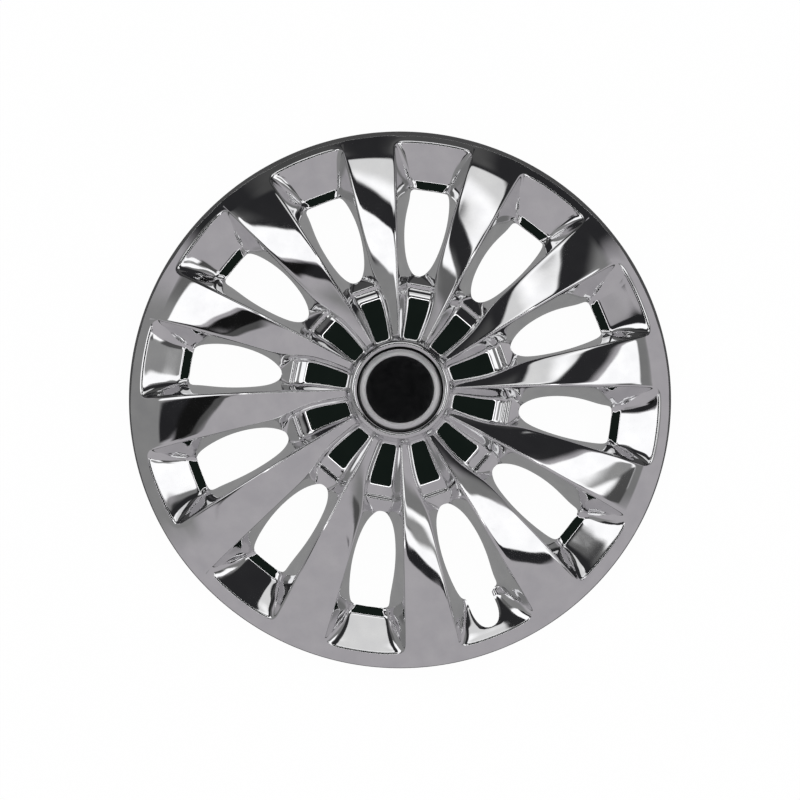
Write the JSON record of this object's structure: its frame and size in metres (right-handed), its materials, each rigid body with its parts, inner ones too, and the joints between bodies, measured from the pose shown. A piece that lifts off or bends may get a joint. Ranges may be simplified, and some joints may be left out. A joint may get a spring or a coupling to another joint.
{
  "type": "wheel cover",
  "caption": "Round chrome-plated wheel cover with twisted spokes, open windows, a valve slot, a bare centre badge and clip posts with a wire ring behind.",
  "frame": {"origin": "on the axle line, at the tips of the clip posts on which the cover lies", "axes": "+Z along the axle, out of the cover's face; +X along one spoke's crest; the valve slot lies towards -Y"},
  "size_m": [0.4, 0.4, 0.054],
  "materials": {
    "chrome": "bright chrome plating on ABS",
    "spring_steel": "zinc-plated spring wire",
    "satin_silver": "satin silver",
    "black_gloss": "gloss black"
  },
  "bodies": {
    "root": {"cover": "chrome", "retention_ring": "spring_steel", "badge_cap": "satin_silver", "badge_disc": "black_gloss"}
  },
  "joints": []
}
